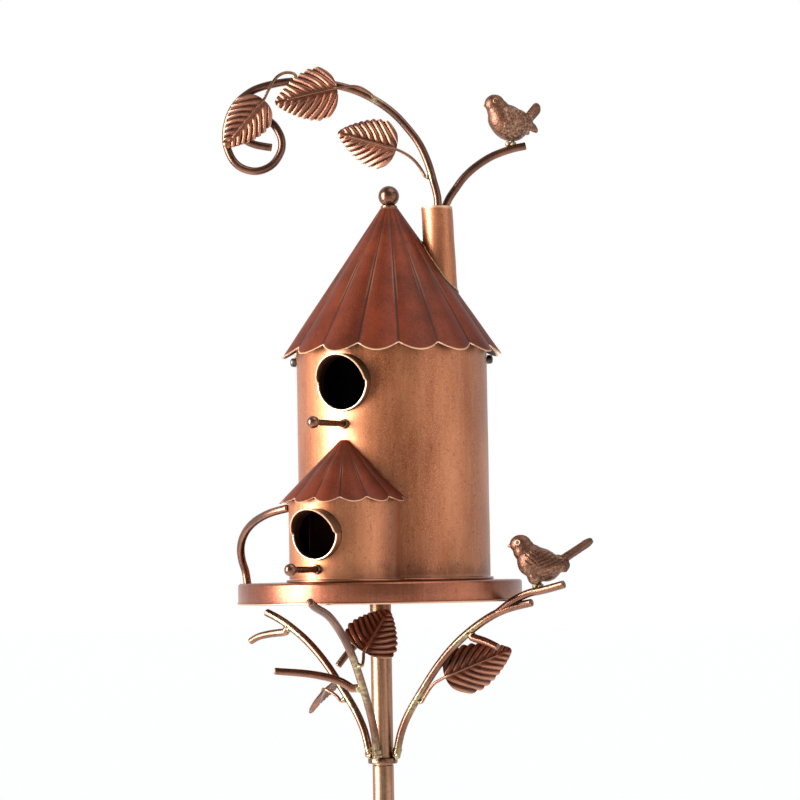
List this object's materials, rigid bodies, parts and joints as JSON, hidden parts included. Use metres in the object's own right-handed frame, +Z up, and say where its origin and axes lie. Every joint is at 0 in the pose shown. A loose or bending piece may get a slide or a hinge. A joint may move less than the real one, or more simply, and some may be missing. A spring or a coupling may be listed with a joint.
{
  "type": "birdhouse on pole",
  "caption": "Copper-finished garden birdhouse on a tube pole: a round tower with a small annex under fluted cone roofs, on a round tray with leafy scrolled branches and birds.",
  "frame": {"origin": "on the pole's axis at soil level, the centre of the ground hub's underside", "axes": "+Z up along the pole; -Y the side of the two entrances; +X to the right of someone facing the entrances"},
  "size_m": [0.2919, 0.2432, 1.8087],
  "materials": {
    "wall_copper": "brushed aged copper plate",
    "roof_copper": "dark red-brown aged copper plate",
    "tray_copper": "brushed aged copper plate",
    "rod_copper": "drawn rod, aged copper plate, patina at the welds",
    "leaf_copper": "pressed sheet, aged copper plate",
    "bird_copper": "cast, aged copper plate",
    "pole_copper": "drawn tube, aged copper plate",
    "dark_steel": "dull dark grey"
  },
  "bodies": {
    "pole": {"ground_hub": "pole_copper", "ground_prong_1": "pole_copper", "ground_prong_2": "pole_copper", "ground_prong_3": "pole_copper", "ground_prong_4": "pole_copper", "pole_lower": "pole_copper", "pole_upper": "pole_copper", "pole_spigot": "dark_steel", "head_spigot": "dark_steel"},
    "house": {"head_tube": "pole_copper", "arm_ring": "rod_copper", "pole_flange": "pole_copper", "flange_rivet_1": "dark_steel", "flange_rivet_2": "dark_steel", "flange_rivet_3": "dark_steel", "tray": "tray_copper", "floor_plate": "tray_copper", "tower_wall": "wall_copper", "tower_collar": "wall_copper", "tower_perch": "rod_copper", "tower_perch_washer": "rod_copper", "annex_wall": "wall_copper", "annex_roof": "roof_copper", "annex_collar": "wall_copper", "annex_perch": "rod_copper", "annex_perch_washer": "rod_copper", "side_scroll": "rod_copper", "arm_right": "rod_copper", "arm_front": "rod_copper", "arm_left": "rod_copper", "arm_back": "rod_copper", "twig_right": "rod_copper", "twig_front": "rod_copper", "twig_left": "rod_copper", "twig_back": "rod_copper", "lower_branch": "rod_copper", "lower_bird": "bird_copper", "leaf_right": "leaf_copper", "leaf_right_stem": "rod_copper", "leaf_front": "leaf_copper", "leaf_front_stem": "rod_copper", "leaf_left": "leaf_copper", "leaf_left_stem": "rod_copper"},
    "roof": {"main_roof": "roof_copper", "roof_skirt": "wall_copper", "finial": "rod_copper", "chimney_tube": "wall_copper", "chimney_cap": "wall_copper", "vine_rod": "rod_copper", "upper_branch": "rod_copper", "upper_bird": "bird_copper", "vine_leaf_tip": "leaf_copper", "vine_leaf_tip_stem": "rod_copper", "vine_leaf_middle": "leaf_copper", "vine_leaf_middle_stem": "rod_copper", "vine_leaf_low": "leaf_copper", "vine_leaf_low_stem": "rod_copper"},
    "screw_right": {"roof_screw_right": "dark_steel"},
    "screw_left": {"roof_screw_left": "dark_steel"}
  },
  "joints": [
    {"name": "head_swivel", "type": "hinge", "parent": "pole", "child": "house", "pos_m": [0, 0, 1.0777], "axis": [0, 0, 1], "continuous": true},
    {"name": "roof_lift", "type": "slide", "parent": "house", "child": "roof", "axis": [0, 0, 1], "range_m": [0, 0.05]},
    {"name": "roof_screw_right_out", "type": "slide", "parent": "house", "child": "screw_right", "axis": [0.866, 0.5, 0], "range_m": [0, 0.006]},
    {"name": "roof_screw_left_out", "type": "slide", "parent": "house", "child": "screw_left", "axis": [-0.866, -0.5, 0], "range_m": [0, 0.006]}
  ]
}
